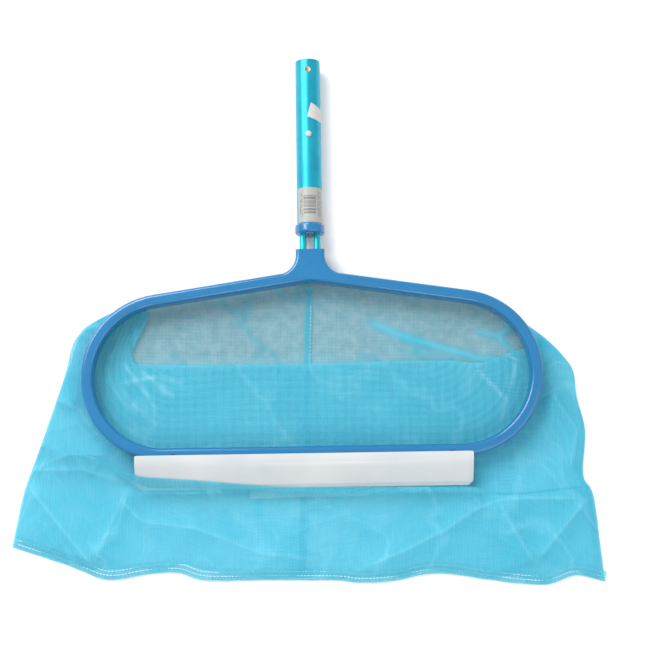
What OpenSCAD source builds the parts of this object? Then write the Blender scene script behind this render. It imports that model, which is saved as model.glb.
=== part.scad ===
// Leaf skimmer net for a pool pole, lying on its back with the handle along +Y.
// +Z points up, away from the surface it lies on. X = 0 is the plane of symmetry of the frame and handle.
// The origin is the middle of the outline, on the surface that the net lies on.

/* [Handle] */
// Outside diameter of the handle tube, which slides inside a pool pole
tube_od = 28.6; // [27:0.1:30]
// Wall thickness of the handle tube
tube_wall = 1.3; // [1:0.1:1.6]
// Length of the handle tube
tube_len = 194; // [180:1:220]
// Distance from the open end of the tube to the spare cross-holes
cross_hole_inset = 12.6; // [10:0.1:20]
// Diameter of the spare cross-holes
cross_hole_d = 6.6; // [5:0.1:7.5]
// Distance from the open end of the tube to the snap buttons
button_inset = 90.4; // [75:0.1:95]
// Diameter of each snap button
button_d = 7.2; // [6:0.1:7.5]
// How far each snap button stands out of the tube
button_proud = 3.5; // [3:0.1:3.6]
// Diameter of the flange on the handle plug
flange_d = 34; // [33:0.5:36]
// Thickness of the flange on the handle plug
flange_len = 11.5; // [9:0.5:14]

/* [Frame] */
// Overall width of the frame
frame_w = 516; // [460:1:560]
// Outside radius of the frame's round ends
end_r = 93.6; // [85:0.1:105]
// Width of the frame's bar, seen from the front
bar_w = 13.4; // [12.6:0.1:15]
// Depth of the frame's bar, front to back
bar_depth = 22; // [21:0.5:24]
// Radius of the bar's outer edges
bar_edge_r = 4; // [3:0.1:4.4]
// Width of the frame's neck
neck_w = 32.8; // [31:0.1:36]
// Radius of the hollow flares between the neck and the upper bar
neck_flare_r = 22; // [16:0.5:26]
// Gap between the frame's neck and the handle plug
rod_gap = 18.7; // [12:0.1:26]
// Diameter of the support rod
rod_d = 8; // [7.4:0.1:8]
// Distance between the rod's two legs, centre to centre
rod_spacing = 15.8; // [15:0.1:16]

/* [Lip] */
// Length of the scoop lip
lip_len = 374; // [320:1:390]
// How far the lip reaches past the lower bar's outer edge
lip_reach = 32; // [25:1:36]
// How far the lip's middle lies to the left of the frame's middle
lip_shift = 9.8; // [0:0.1:12]

/* [Bag] */
// Distance from the middle of the frame's round ends down to the bag's hem
bag_drop = 233; // [215:1:260]
// Width of the bag at its hem
bag_w = 656; // [600:1:680]
// Height of the hem band along the bottom of the bag
hem_h = 11; // [9:1:14]
// How far the front of the bag folds up inside the mouth, past the middle of the round ends
fold_rise = 15; // [0:1:40]

/* [Hidden] */
$fn = 64;

// Lengths that pieces share are kept to hundredths
function round_to(v) = round(v * 100) / 100;

// A plan's points on the right, followed by their mirror images on the left
function both_sides(points) =
    concat(points, [for (i = [len(points) - 1:-1:0]) [-points[i][0], points[i][1]]]);

// Heights of the frame and the handle, whose axes share one plane
tube_r = tube_od / 2;
bore_r = tube_r - tube_wall;
floor_gap = 0.2;
axis_z = tube_r + button_proud + floor_gap;
bar_top_z = axis_z + bar_depth / 2;
bar_back_z = axis_z - bar_depth / 2;

// Slope of each half of the upper bar, in degrees, kept at a value whose sine and cosine are short decimals
gable = 8.556;

// Plan of the frame, measured from the middle of its round ends
mid_r = end_r - bar_w / 2;
end_x = frame_w / 2 - end_r;
tangent_x = end_x + mid_r * sin(gable);
tangent_y = mid_r * cos(gable);
apex_mid_y = tangent_y + tangent_x * tan(gable);
apex_y = apex_mid_y + bar_w / 2 / cos(gable);
apex_overlap = 3;
upper_bar_len = ceil(tangent_x / cos(gable) + apex_overlap);
neck_rise = 22.5;
flare_bite = 0.3;
flare_bar_w = 10;
flare_x = neck_w / 2 + neck_flare_r;
flare_y = round_to(apex_y - flare_x * tan(gable) + (neck_flare_r - flare_bite) / cos(gable));
neck_top_y = round_to(apex_y + neck_rise);
flange_y = neck_top_y + rod_gap;
tube_y = flange_y + flange_len;
tube_end_y = tube_y + tube_len;
button_y = tube_end_y - button_inset;

// The rod runs along the upper bar, bends up through the neck and ends inside the plug
leg_depth = 32;
bend_r = 14;
bend_room = 0.9;
rod_r = rod_d / 2;
upper_rod_len = round_to((tangent_x + bend_r * (sin(gable) - 1) - rod_spacing / 2) / cos(gable));
leg_x = tangent_x - upper_rod_len * cos(gable) + bend_r * (sin(gable) - 1);
bend_x = leg_x + bend_r;
bend_y = tangent_y + upper_rod_len * sin(gable) + bend_r * cos(gable);
leg_len = round_to(flange_y + leg_depth - bend_y);

// The origin lies half-way between the hem and the tube's open end
ring_y = (bag_drop - tube_end_y) / 2;

// Straight lengths of a sweep are a hair fatter than its round ends, and reach this far into them
joint_fat = 0.04;
joint_len = 0.4;
$fat = 0;

// Gaps between pieces
gap = 0.3;
fine_gap = 0.1;
beyond = 1;
far = 2 * frame_w;

// Plug and its fasteners
plug_len = 40;
flange_edge_r = 3;
screw_d = 3;
screw_head_d = 5.6;
screw_head_h = 2.2;
slot_w = 1;
slot_depth = 0.8;
plug_screw_len = 14;
pin_d = 4;
pin_rise = 36.5;
neck_screw_y = bend_y + 1.6;
neck_screw_end_z = bar_top_z - 3;
dimple_d = 4;
dimple_depth = 0.3;

// Snap buttons and the clip spring
strip_t = 0.8;
strip_w = 9;
dome_h = 2.4;
foot_d = 9.5;
foot_t = 1;
foot_top = 11.6;
foot_base = foot_top - foot_t;
strip_top = foot_base - fine_gap;
rivet_d = 3;
rivet_head_d = 5;
rivet_head_t = 0.7;
clip_bend_r = 4;
clip_pad_len = 7;
clip_arm_len = 46;
clip_angle = atan((strip_top - clip_bend_r) / clip_arm_len);

// Groove in the back of the frame, its cord and the mouth's hem
groove_w = 4.4;
groove_depth = 5.5;
spline_r = 1.3;
spline_sides = 24;
spline_off = 0.6;
hem_t = 0.8;
hem_off = -1.5;
mouth_hem_low = 5.4;
mouth_hem_h = 6.6;

// Lip
lip_t = 1.6;
lip_inset = 5.3;
lip_flat = 2.6;
lip_edge_z = 12;
lip_corner = 5;
clip_x = 154;
clip_w = 3;
clip_t = 0.9;
clip_tongue = 3.4;
clip_leg = 4;

// Bag: the back lies on the surface, and the front folds over above it
back_t = 1.4;
front_low = 2.2;
front_t = 1.2;
fold_low = 4.4;
fold_t = 0.9;
fold_end = 2;
fold_half_w = 205;
fold_out_y = -40;
mouth_wall_t = 1.2;
wall_from = 10;
bag_shoulder = [[frame_w / 2 + 4, end_r / 2], [frame_w / 2 + 32, 5]];
bag_side = [[bag_w / 2 - 26, -75], [bag_w / 2 - 12, -150], [bag_w / 2, hem_h - bag_drop]];
seam_w = 9;
seam_t = 0.3;
hem_thick = 3.6;
thread_w = 0.7;
thread_t = 0.3;
thread_insets = [4.5, 9];
tab_w = 133;
tab_h = 14;
tab_t = 0.35;
tab_y = -123;

// Paper on the handle, with angles measured round the tube from its front
paper_gap = 0.05;
paper_t = 0.2;
label_h = 40.3;
label_rise = 0.4;
label_from = -60;
label_to = 125;
sticker_from = -30;
sticker_to = 130;
sticker_low_z = -3;
sticker_corners = [[-1.3, 124.6], [3.4, 141.2], [22, 131], [22, 116.5]];

// Solids that lie along +Y, from y = 0
module rod_y(d, len) {
    rotate([-90, 0, 0]) cylinder(d = d, h = len);
}

// Sets $fat, the amount that its children's sections stand out past their drawn size
module fattened(by) {
    $fat = by;
    children();
}

// A section drawn as [outwards, up] and swept all round the frame
module ring_sweep() {
    for (side = [0, 1]) mirror([side, 0, 0]) {
        right_end() rotate_extrude(angle = 180 - gable) translate([mid_r, 0]) children();
        upper_bar_start() translate([0, upper_bar_len, 0]) rotate([90, 0, 0])
            linear_extrude(upper_bar_len + joint_len) fattened(joint_fat) children();
    }
    translate([end_x + joint_len, -mid_r, 0]) rotate([90, 0, -90])
        linear_extrude(2 * (end_x + joint_len)) fattened(joint_fat) children();
}

// Puts its children at the middle of the right round end, turned so that the arc starts along +X
module right_end() {
    translate([end_x, 0, 0]) rotate([0, 0, -90]) children();
}

// Puts its children where the right round end meets the upper bar, with +Y along the bar to the middle
module upper_bar_start() {
    right_end() rotate([0, 0, 180 - gable]) translate([mid_r, 0, 0]) children();
}

// The rod's route: its straight lengths are a hair thinner than its bends and reach a little into them
module rod_route() {
    straight_d = rod_d - 2 * joint_fat;
    for (side = [0, 1]) mirror([side, 0, 0]) translate([0, 0, axis_z]) {
        right_end() rotate_extrude(angle = 180 - gable) translate([mid_r, 0]) circle(rod_r);
        upper_bar_start() {
            translate([0, -joint_len, 0]) rod_y(straight_d, upper_rod_len + 2 * joint_len);
            translate([bend_r, upper_rod_len, 0]) rotate([0, 0, 90 + gable]) {
                rotate_extrude(angle = 90 - gable) translate([bend_r, 0]) circle(rod_r);
                translate([bend_r, joint_len, 0]) rotate([0, 0, 180]) rod_y(straight_d, leg_len + joint_len);
            }
        }
    }
    translate([0, -mid_r, axis_z]) rotate([0, 90, 0])
        cylinder(d = straight_d, h = 2 * (end_x + joint_len), center = true);
}

// One half of the section of a bar of the frame, with round edges: front is 1 for the front half
module half_section(w, front) {
    flat_w = w - 2 * bar_edge_r;
    edge_h = bar_depth / 2 - bar_edge_r;
    edge_r = bar_edge_r + $fat;
    base = joint_fat - $fat;
    translate([0, axis_z]) mirror([0, 1 - front]) {
        translate([-flat_w / 2, base]) square([flat_w, edge_h + edge_r - base]);
        translate([-flat_w / 2 - edge_r, base]) square([flat_w + 2 * edge_r, edge_h - base]);
        for (x = [-1, 1]) translate([x * flat_w / 2, edge_h]) circle(edge_r);
    }
}

// Plan of the middle of the neck, between its two flares
module neck_plan() {
    low_y = apex_mid_y - flare_x * tan(gable);
    difference() {
        translate([-flare_x, low_y]) square([2 * flare_x, flare_y - low_y]);
        for (side = [-1, 1]) translate([side * flare_x, flare_y]) circle(neck_flare_r + bar_edge_r + beyond);
    }
}

// One half of the neck: its middle, its straight top and a flare on each side
module neck_half(front) {
    straight = neck_top_y - flare_y;
    translate([0, 0, axis_z]) mirror([0, 0, 1 - front]) translate([0, 0, joint_fat])
        linear_extrude(bar_depth / 2 - joint_fat) neck_plan();
    translate([0, flare_y + straight, 0]) rotate([90, 0, 0])
        linear_extrude(straight) half_section(neck_w, front);
    for (side = [0, 1]) mirror([side, 0, 0]) translate([flare_x, flare_y, 0])
        rotate([0, 0, 180]) rotate_extrude(angle = 90 - gable) intersection() {
            translate([neck_flare_r + neck_w / 2, 0]) half_section(neck_w, front);
            square([neck_flare_r + flare_bar_w, far]);
        }
}

// Plan of the room inside the neck for the rod's bends, which follows the upper bar to each side
module neck_room_plan() {
    room = rod_r + bend_room;
    wide = flare_x + beyond;
    side_y = apex_mid_y - wide * tan(gable);
    inner = bend_r - rod_r - bend_room;
    polygon(both_sides([
        [0, apex_mid_y - room], [wide, side_y - room], [wide, side_y + room], [bend_x, bend_y - inner],
        [bend_x - inner * sin(45), bend_y - inner * cos(45)], [bend_x - inner, bend_y + beyond]]));
}

// One half of the frame, with the channel for the rod and the hole for the neck screw
module frame_half(front) {
    difference() {
        union() {
            ring_sweep() difference() {
                half_section(bar_w, front);
                translate([0, axis_z]) circle(rod_r + gap - $fat);
            }
            neck_half(front);
        }
        translate([0, 0, axis_z - rod_r - bend_room])
            linear_extrude(2 * (rod_r + bend_room)) neck_room_plan();
        for (side = [-1, 1])
            translate([side * leg_x, bend_y, axis_z]) rod_y(2 * (rod_r + gap), neck_top_y - bend_y + beyond);
        translate([0, neck_screw_y, bar_back_z - beyond])
            cylinder(d = screw_d + 2 * fine_gap, h = neck_screw_end_z - bar_back_z + gap + beyond);
    }
}

module handle_tube() {
    color([0.10, 0.66, 0.76]) translate([0, ring_y + tube_y, axis_z]) difference() {
        rod_y(tube_od, tube_len);
        translate([0, -beyond, 0]) rod_y(2 * bore_r, tube_len + 2 * beyond);
        translate([0, tube_len - cross_hole_inset, -tube_od]) cylinder(d = cross_hole_d, h = 2 * tube_od);
        translate([0, tube_len - button_inset, -tube_od]) cylinder(d = button_d + 2 * gap, h = 2 * tube_od);
        translate([0, pin_rise - flange_len, -tube_od]) cylinder(d = pin_d + 2 * fine_gap, h = 2 * tube_od);
    }
}

// One arm of the clip: a slanted strip and a pad under the button
module clip_arm() {
    translate([0, -clip_pad_len - clip_arm_len, 0]) {
        translate([-strip_w / 2, 0, clip_bend_r - strip_t])
            rotate([clip_angle, 0, 0]) cube([strip_w, clip_arm_len / cos(clip_angle), strip_t]);
    }
    difference() {
        translate([-strip_w / 2, -clip_pad_len - strip_t, strip_top - strip_t])
            cube([strip_w, 2 * clip_pad_len + strip_t, strip_t]);
        cylinder(d = rivet_d + 2 * gap, h = strip_top + beyond);
    }
}

module clip_spring() {
    color([0.78, 0.80, 0.82]) translate([0, ring_y + button_y, axis_z]) {
        for (side = [0, 1]) mirror([0, 0, side]) clip_arm();
        translate([0, -clip_pad_len - clip_arm_len, 0]) difference() {
            rotate([0, 90, 0]) cylinder(r = clip_bend_r, h = strip_w, center = true);
            rotate([0, 90, 0]) cylinder(r = clip_bend_r - strip_t, h = strip_w + beyond, center = true);
            translate([-strip_w, 0, -clip_bend_r]) cube([2 * strip_w, clip_bend_r + beyond, 2 * clip_bend_r]);
        }
    }
}

// A button that points up from the handle's axis: shank, domed top, foot and rivet
module snap_button() {
    shank_top = tube_r + button_proud - dome_h;
    dome_r = (pow(button_d / 2, 2) + pow(dome_h, 2)) / (2 * dome_h);
    translate([0, 0, foot_base]) cylinder(d = foot_d, h = foot_t);
    translate([0, 0, foot_base]) cylinder(d = button_d, h = shank_top - foot_base);
    intersection() {
        translate([0, 0, shank_top + dome_h - dome_r]) sphere(dome_r);
        translate([0, 0, shank_top]) cylinder(d = button_d, h = dome_h + beyond);
    }
    translate([0, 0, strip_top - strip_t - fine_gap]) cylinder(d = rivet_d, h = strip_t + foot_t);
    translate([0, 0, strip_top - strip_t - fine_gap - rivet_head_t])
        cylinder(d = rivet_head_d, h = rivet_head_t);
}

module snap_button_front() {
    color([0.86, 0.88, 0.90]) translate([0, ring_y + button_y, axis_z]) snap_button();
}

module snap_button_back() {
    color([0.86, 0.88, 0.90]) translate([0, ring_y + button_y, axis_z]) mirror([0, 0, 1]) snap_button();
}

module handle_plug() {
    color([0.14, 0.45, 0.74]) translate([0, ring_y + flange_y, axis_z]) difference() {
        union() {
            rotate([-90, 0, 0]) rotate_extrude() {
                translate([0, flange_edge_r]) square([flange_d / 2, flange_len - 2 * flange_edge_r]);
                square([flange_d / 2 - flange_edge_r, flange_len]);
                for (y = [flange_edge_r, flange_len - flange_edge_r])
                    translate([flange_d / 2 - flange_edge_r, y]) circle(flange_edge_r);
            }
            rod_y(2 * (bore_r - fine_gap), flange_len + plug_len);
        }
        for (side = [-1, 1])
            translate([side * leg_x, -beyond, 0]) rod_y(rod_d + 2 * fine_gap, leg_depth + gap + beyond);
        translate([0, -beyond, 0]) rod_y(screw_d + 2 * fine_gap, plug_screw_len + beyond);
        translate([0, pin_rise, -tube_od]) cylinder(d = pin_d + 2 * fine_gap, h = 2 * tube_od);
    }
}

module plug_screw() {
    color([0.42, 0.44, 0.47]) translate([0, ring_y + flange_y, axis_z]) difference() {
        union() {
            translate([0, -screw_head_h - fine_gap, 0]) rod_y(screw_head_d, screw_head_h);
            translate([0, -screw_head_h, 0]) rod_y(screw_d, plug_screw_len + screw_head_h - gap);
        }
        translate([-screw_head_d, -screw_head_h - fine_gap - beyond, -slot_w / 2])
            cube([2 * screw_head_d, slot_depth + beyond, slot_w]);
    }
}

module plug_pin() {
    color([0.62, 0.64, 0.66]) translate([0, ring_y + flange_y + pin_rise, axis_z])
        cylinder(d = pin_d, h = tube_od - 4 * fine_gap, center = true);
}

module support_rod() {
    color([0.15, 0.70, 0.74]) translate([0, ring_y, 0]) rod_route();
}

module frame_front() {
    color([0.19, 0.57, 0.79]) translate([0, ring_y, 0]) difference() {
        frame_half(1);
        translate([0, neck_screw_y, bar_top_z - dimple_depth])
            cylinder(d = dimple_d, h = dimple_depth + beyond);
        for (side = [-1, 1]) translate([side * clip_x - clip_w / 2 - gap, lip_inner_y + gap, 0]) {
            translate([0, -clip_leg, bar_top_z - clip_t - fine_gap])
                cube([clip_w + 2 * gap, clip_leg + clip_t + gap, far]);
            translate([0, -gap, bar_top_z - clip_tongue - gap])
            cube([clip_w + 2 * gap, clip_t + 2 * gap, far]);
        }
    }
}

module frame_back() {
    color([0.16, 0.52, 0.75]) translate([0, ring_y, 0]) difference() {
        frame_half(0);
        translate([0, neck_screw_y, bar_back_z - beyond])
            cylinder(d = screw_head_d + 2 * gap, h = screw_head_h + beyond);
        ring_sweep() translate([-groove_w / 2 - $fat, bar_back_z - beyond])
            square([groove_w + 2 * $fat, groove_depth + beyond + $fat]);
    }
}

module neck_screw() {
    color([0.62, 0.64, 0.66]) translate([0, ring_y + neck_screw_y, bar_back_z + fine_gap]) difference() {
        union() {
            cylinder(d = screw_head_d, h = screw_head_h - fine_gap);
            cylinder(d = screw_d, h = neck_screw_end_z - bar_back_z - fine_gap);
        }
        translate([-screw_head_d, -slot_w / 2, -beyond])
            cube([2 * screw_head_d, slot_w, slot_depth + beyond]);
    }
}

module retaining_spline() {
    color([0.12, 0.30, 0.48]) translate([0, ring_y, 0])
        ring_sweep() translate([spline_off, bar_back_z + groove_depth - spline_r - gap])
            circle(spline_r + $fat, $fn = spline_sides);
}

// Section of a thin upright strip
module upright_strip(off, thick, low, high) {
    translate([off - thick / 2 - $fat, low - $fat]) square([thick + 2 * $fat, high + 2 * $fat]);
}

module mouth_hem() {
    color([0.42, 0.78, 0.86]) translate([0, ring_y, 0])
        ring_sweep() upright_strip(hem_off, hem_t, mouth_hem_low, mouth_hem_h);
}

// Where the lip's inner edge lies on the lower bar
lip_inner_y = -end_r + lip_inset;

module scoop_lip() {
    bend_y_out = -end_r - lip_flat;
    edge_y = -end_r - lip_reach;
    low_z = bar_top_z + fine_gap;
    profile = [[lip_inner_y, low_z], [bend_y_out, low_z], [edge_y, lip_edge_z],
               [edge_y, lip_edge_z + lip_t], [bend_y_out, low_z + lip_t], [lip_inner_y, low_z + lip_t]];
    color([0.88, 0.91, 0.93]) translate([-lip_shift, ring_y, 0]) intersection() {
        translate([lip_len / 2, 0, 0]) rotate([90, 0, -90]) linear_extrude(lip_len)
            polygon([for (p = profile) [-p[0], p[1]]]);
        linear_extrude(far) polygon([
            [-lip_len / 2, lip_inner_y], [lip_len / 2, lip_inner_y], [lip_len / 2, edge_y + lip_corner],
            [lip_len / 2 - lip_corner, edge_y], [lip_corner - lip_len / 2, edge_y],
            [-lip_len / 2, edge_y + lip_corner]]);
    }
}

// Each clip has a leg under the lip and a tongue down into the bar
module lip_clips() {
    color([0.10, 0.32, 0.55]) for (side = [-1, 1])
        translate([side * clip_x - clip_w / 2, ring_y + lip_inner_y + gap, 0]) {
            translate([0, -clip_leg + gap, bar_top_z - clip_t])
                cube([clip_w, clip_leg + clip_t - gap, clip_t]);
            translate([0, 0, bar_top_z - clip_tongue]) cube([clip_w, clip_t, clip_tongue]);
        }
}

// Plan of the bag's back, from under the upper bar to the hem
module back_plan() {
    polygon(both_sides(concat([[0, apex_mid_y], [tangent_x, tangent_y]], bag_shoulder, bag_side)));
}

// Plan of the bag's front outside the mouth, below the round ends
module front_plan() {
    polygon(both_sides(concat([[fold_half_w, fold_rise], [fold_half_w, fold_out_y]], bag_side)));
}

module bag_back() {
    wall_low = back_t / 2;
    color([0.40, 0.80, 0.90]) translate([0, ring_y, 0]) {
        linear_extrude(back_t) back_plan();
        intersection() {
            ring_sweep() upright_strip(0, mouth_wall_t, wall_low, mouth_hem_low - wall_low - gap);
            translate([-far, wall_from, 0]) cube([2 * far, far, far]);
        }
    }
}

module bag_front() {
    fold_top = fold_low + fold_t;
    color([0.45, 0.83, 0.92]) translate([0, ring_y, 0]) {
        translate([0, 0, front_low]) linear_extrude(front_t) front_plan();
        translate([-fold_half_w, fold_rise - fold_end, front_low])
            cube([2 * fold_half_w, fold_end, fold_top - front_low]);
        translate([-fold_half_w, -mid_r, fold_low])
            cube([2 * fold_half_w, mid_r + fold_rise, fold_t]);
    }
}

module centre_seam() {
    color([0.30, 0.72, 0.84]) translate([-seam_w / 2, ring_y - bag_drop + hem_h, back_t])
        cube([seam_w, bag_drop - hem_h + apex_mid_y - bar_w, seam_t]);
}

module bottom_hem() {
    color([0.36, 0.76, 0.88]) translate([-bag_w / 2, ring_y - bag_drop, 0]) cube([bag_w, hem_h, hem_thick]);
}

module hem_stitching() {
    color([0.93, 0.95, 0.95]) for (inset = thread_insets)
        translate([-bag_w / 2 + hem_h, ring_y - bag_drop + inset - thread_w / 2, hem_thick])
            cube([bag_w - 2 * hem_h, thread_w, thread_t]);
}

module sewn_tab() {
    color([0.80, 0.88, 0.92]) translate([-tab_w / 2, ring_y + tab_y - tab_h, back_t + seam_t + paper_gap])
        cube([tab_w, tab_h, tab_t]);
}

// A thin curved sheet on the tube, from one angle to another, measured from the front towards +X
module paper_wrap(from, to, len) {
    inner = tube_r + paper_gap;
    rotate([-90, 0, 0]) rotate([0, 0, from - 90]) rotate_extrude(angle = to - from)
        translate([inner, 0]) square([paper_t, len]);
}

module product_label() {
    color([0.74, 0.74, 0.72]) translate([0, ring_y + tube_y + label_rise, axis_z])
        paper_wrap(label_from, label_to, label_h);
}

// Torn, so its four corners are uneven
module price_sticker() {
    color([0.90, 0.88, 0.88]) translate([0, ring_y + tube_y, axis_z]) intersection() {
        paper_wrap(sticker_from, sticker_to, tube_len);
        translate([0, 0, sticker_low_z]) linear_extrude(far) polygon(sticker_corners);
    }
}

handle_tube();
clip_spring();
snap_button_front();
snap_button_back();
handle_plug();
plug_screw();
plug_pin();
support_rod();
frame_front();
frame_back();
neck_screw();
retaining_spline();
mouth_hem();
scoop_lip();
lip_clips();
bag_back();
bag_front();
centre_seam();
bottom_hem();
hem_stitching();
sewn_tab();
price_sticker();
product_label();
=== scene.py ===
import math
import random

import bmesh
import bpy
import numpy as np
from mathutils import Matrix, Vector


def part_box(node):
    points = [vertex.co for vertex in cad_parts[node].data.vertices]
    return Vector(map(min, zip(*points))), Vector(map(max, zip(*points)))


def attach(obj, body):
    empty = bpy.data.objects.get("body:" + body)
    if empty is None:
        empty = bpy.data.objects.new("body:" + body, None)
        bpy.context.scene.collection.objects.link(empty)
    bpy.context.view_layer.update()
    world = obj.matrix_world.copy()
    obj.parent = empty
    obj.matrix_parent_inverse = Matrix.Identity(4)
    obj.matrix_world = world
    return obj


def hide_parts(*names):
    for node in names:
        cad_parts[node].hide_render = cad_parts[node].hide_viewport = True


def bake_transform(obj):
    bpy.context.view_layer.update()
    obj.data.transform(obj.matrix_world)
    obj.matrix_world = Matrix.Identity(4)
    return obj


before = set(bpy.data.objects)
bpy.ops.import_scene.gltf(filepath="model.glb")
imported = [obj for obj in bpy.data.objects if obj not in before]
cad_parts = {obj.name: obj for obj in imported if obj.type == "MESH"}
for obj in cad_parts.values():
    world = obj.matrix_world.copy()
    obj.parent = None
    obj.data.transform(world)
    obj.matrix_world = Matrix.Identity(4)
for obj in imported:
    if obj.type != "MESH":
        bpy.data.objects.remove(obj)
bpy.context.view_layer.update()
MM = 0.001


# ---------------------------------------------------------------- camera
def add_camera():
    """Nearly overhead, and tilted a little towards the bag."""
    tilt, roll, away = math.radians(9.0), math.radians(0.9), 1.436
    target = Vector((0.0156, -0.0075, 0.0))
    look = Vector((math.sin(roll) * math.sin(tilt), math.cos(roll) * math.sin(tilt), -math.cos(tilt)))
    right = Vector((math.cos(roll), -math.sin(roll), 0.0))
    up = right.cross(look)
    data = bpy.data.cameras.new("camera")
    data.sensor_width = 36.0
    data.lens = 69.6
    data.clip_start, data.clip_end = 0.01, 20.0
    cam = bpy.data.objects.new("camera", data)
    bpy.context.scene.collection.objects.link(cam)
    turn = Matrix((right, up, -look)).transposed().to_4x4()
    cam.matrix_world = Matrix.Translation(target - away * look) @ turn
    bpy.context.scene.camera = cam
    return cam


add_camera()

# ---------------------------------------------------------------- places, in plan millimetres
# The plan's origin is the middle of the frame's round ends.
front_low, front_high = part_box("frame_front")
END_R = 93.6
END_X = 164.4
# Radius of the round ends down the middle of the bar, and how steeply the upper bar's halves rise
MID_R = 86.9
GABLE = math.radians(8.556)
# Depth of the frame's rear groove, where the cloth's edges are held
GROOVE_Z = 10.4
PLAN_Y = front_low.y / MM + END_R
BAR_TOP = front_high.z / MM
TUBE_LOW, TUBE_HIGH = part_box("handle_tube")
AXIS_Z = (TUBE_LOW.z + TUBE_HIGH.z) / 2 / MM


def smooth(a, b, v):
    """0 below a, 1 above b, and a smooth step between."""
    t = np.clip((np.asarray(v, float) - a) / (b - a), 0, 1)
    return t * t * (3 - 2 * t)


def along(points, count):
    """count points evenly along a smooth curve through the given ones."""
    p = np.array(points, float)
    p = np.vstack([2 * p[0] - p[1], p, 2 * p[-1] - p[-2]])
    fine = []
    for i in range(1, len(p) - 2):
        t = np.linspace(0, 1, 40, endpoint=False)[:, None]
        a, b, c, d = p[i - 1:i + 3]
        fine.append(0.5 * (2 * b + (c - a) * t + (2 * a - 5 * b + 4 * c - d) * t**2
                           + (3 * b - a - 3 * c + d) * t**3))
    fine = np.vstack(fine + [p[-2][None]])
    run = line_run(fine)
    at = np.linspace(0, run[-1], count)
    return np.stack([np.interp(at, run, fine[:, k]) for k in range(fine.shape[1])], 1)


def ring_line(radius, start, end, count):
    """Points along the frame, from one angle to another, anticlockwise in degrees about the middle.
    Angles past the round ends' tangents run along the straight bars."""
    slope = math.degrees(GABLE)
    pts = []
    for a in np.arange(-90, 90 - slope + 1e-6, (180 - slope) / 60):
        pts.append((END_X + radius * math.cos(math.radians(a)), radius * math.sin(math.radians(a))))
    top = END_X + radius * math.sin(GABLE)
    pts.append((0, radius * math.cos(GABLE) + top * math.tan(GABLE)))
    pts += [(-x, y) for x, y in reversed(pts[:-1])]
    pts = np.array(pts + [pts[0]])
    run = line_run(pts)
    total = run[-1]
    angle = np.degrees(np.unwrap(np.arctan2(pts[:, 1], pts[:, 0])))
    s0, s1 = (np.interp(a, angle, run) if a <= angle[-1] else
              np.interp(a - 360, angle, run) + total for a in (start, end))
    at = np.linspace(s0, s1, count)
    at = np.where(at > total, at - total, at)
    return np.stack([np.interp(at, run, pts[:, 0]), np.interp(at, run, pts[:, 1])], 1)


def patch(top, bottom, left, right, rows):
    """A plan grid between four curves: top and bottom run left to right, the sides run downwards."""
    u = np.linspace(0, 1, len(top))[None, :, None]
    v = np.linspace(0, 1, rows)[:, None, None]
    sides_l = along(left, rows)[:, None, :]
    sides_r = along(right, rows)[:, None, :]
    t, b = np.asarray(top)[None], np.asarray(bottom)[None]
    corners = ((1 - u) * (1 - v) * t[:, :1] + u * (1 - v) * t[:, -1:]
               + (1 - u) * v * b[:, :1] + u * v * b[:, -1:])
    return (1 - v) * t + v * b + (1 - u) * sides_l + u * sides_r - corners


def waves(x, y, size, seed, count=9):
    """Smooth, seeded waviness between about -1 and 1, with features of that size in millimetres."""
    rng = np.random.default_rng(seed)
    out = np.zeros(np.broadcast(x, y).shape)
    for _ in range(count):
        turn = rng.uniform(0, 2 * math.pi)
        k = 2 * math.pi / (size * rng.uniform(0.7, 1.9))
        out += np.sin(k * (x * math.cos(turn) + y * math.sin(turn)) + rng.uniform(0, 2 * math.pi))
    return out / math.sqrt(count * 2)


def crease(x, y, points, rise, width, sharp=1.0):
    """A ridge (or, with a negative rise, a valley) along a line of plan points."""
    best = np.full(np.broadcast(x, y).shape, 1e9)
    fade = np.ones_like(best)
    pts = np.array(points, float)
    run = line_run(pts)
    for i in range(len(pts) - 1):
        a, d = pts[i], pts[i + 1] - pts[i]
        t = np.clip(((x - a[0]) * d[0] + (y - a[1]) * d[1]) / (d @ d), 0, 1)
        far = np.hypot(x - a[0] - t * d[0], y - a[1] - t * d[1])
        here = (run[i] + t * (run[i + 1] - run[i])) / run[-1]
        closer = far < best
        best = np.where(closer, far, best)
        fade = np.where(closer, smooth(0, 0.15, here) * smooth(0, 0.15, 1 - here), fade)
    return rise * fade * np.exp(-(best / width) ** sharp)


# ---------------------------------------------------------------- mesh building
def to_row(x, y, z):
    return np.stack([np.broadcast_to(x, z.shape), y + PLAN_Y, z], -1) * MM


def add_mesh(name, verts, faces, body="skimmer"):
    data = bpy.data.meshes.new(name)
    data.from_pydata([tuple(v) for v in verts], [], faces)
    data.validate()
    for p in data.polygons:
        p.use_smooth = True
    obj = bpy.data.objects.new(name, data)
    bpy.context.scene.collection.objects.link(obj)
    if body:
        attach(obj, body)
    return obj


def grid_faces(rows, cols, start=0, loop=False):
    faces = []
    for r in range(rows - 1):
        for c in range(cols if loop else cols - 1):
            d = (c + 1) % cols
            faces.append((start + r * cols + c, start + (r + 1) * cols + c,
                          start + (r + 1) * cols + d, start + r * cols + d))
    return faces


def add_grid(name, points, flat_uv, body="skimmer"):
    """A sheet from a rows x columns grid of points in metres, with its flat place as UV, in metres."""
    rows, cols = points.shape[:2]
    faces = grid_faces(rows, cols)
    obj = add_mesh(name, points.reshape(-1, 3), faces, body)
    layer = obj.data.uv_layers.new(name="flat")
    uv = flat_uv.reshape(-1, 2)
    order = np.zeros(len(obj.data.loops), int)
    obj.data.loops.foreach_get("vertex_index", order)
    layer.data.foreach_set("uv", uv[order].ravel())
    return obj


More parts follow.
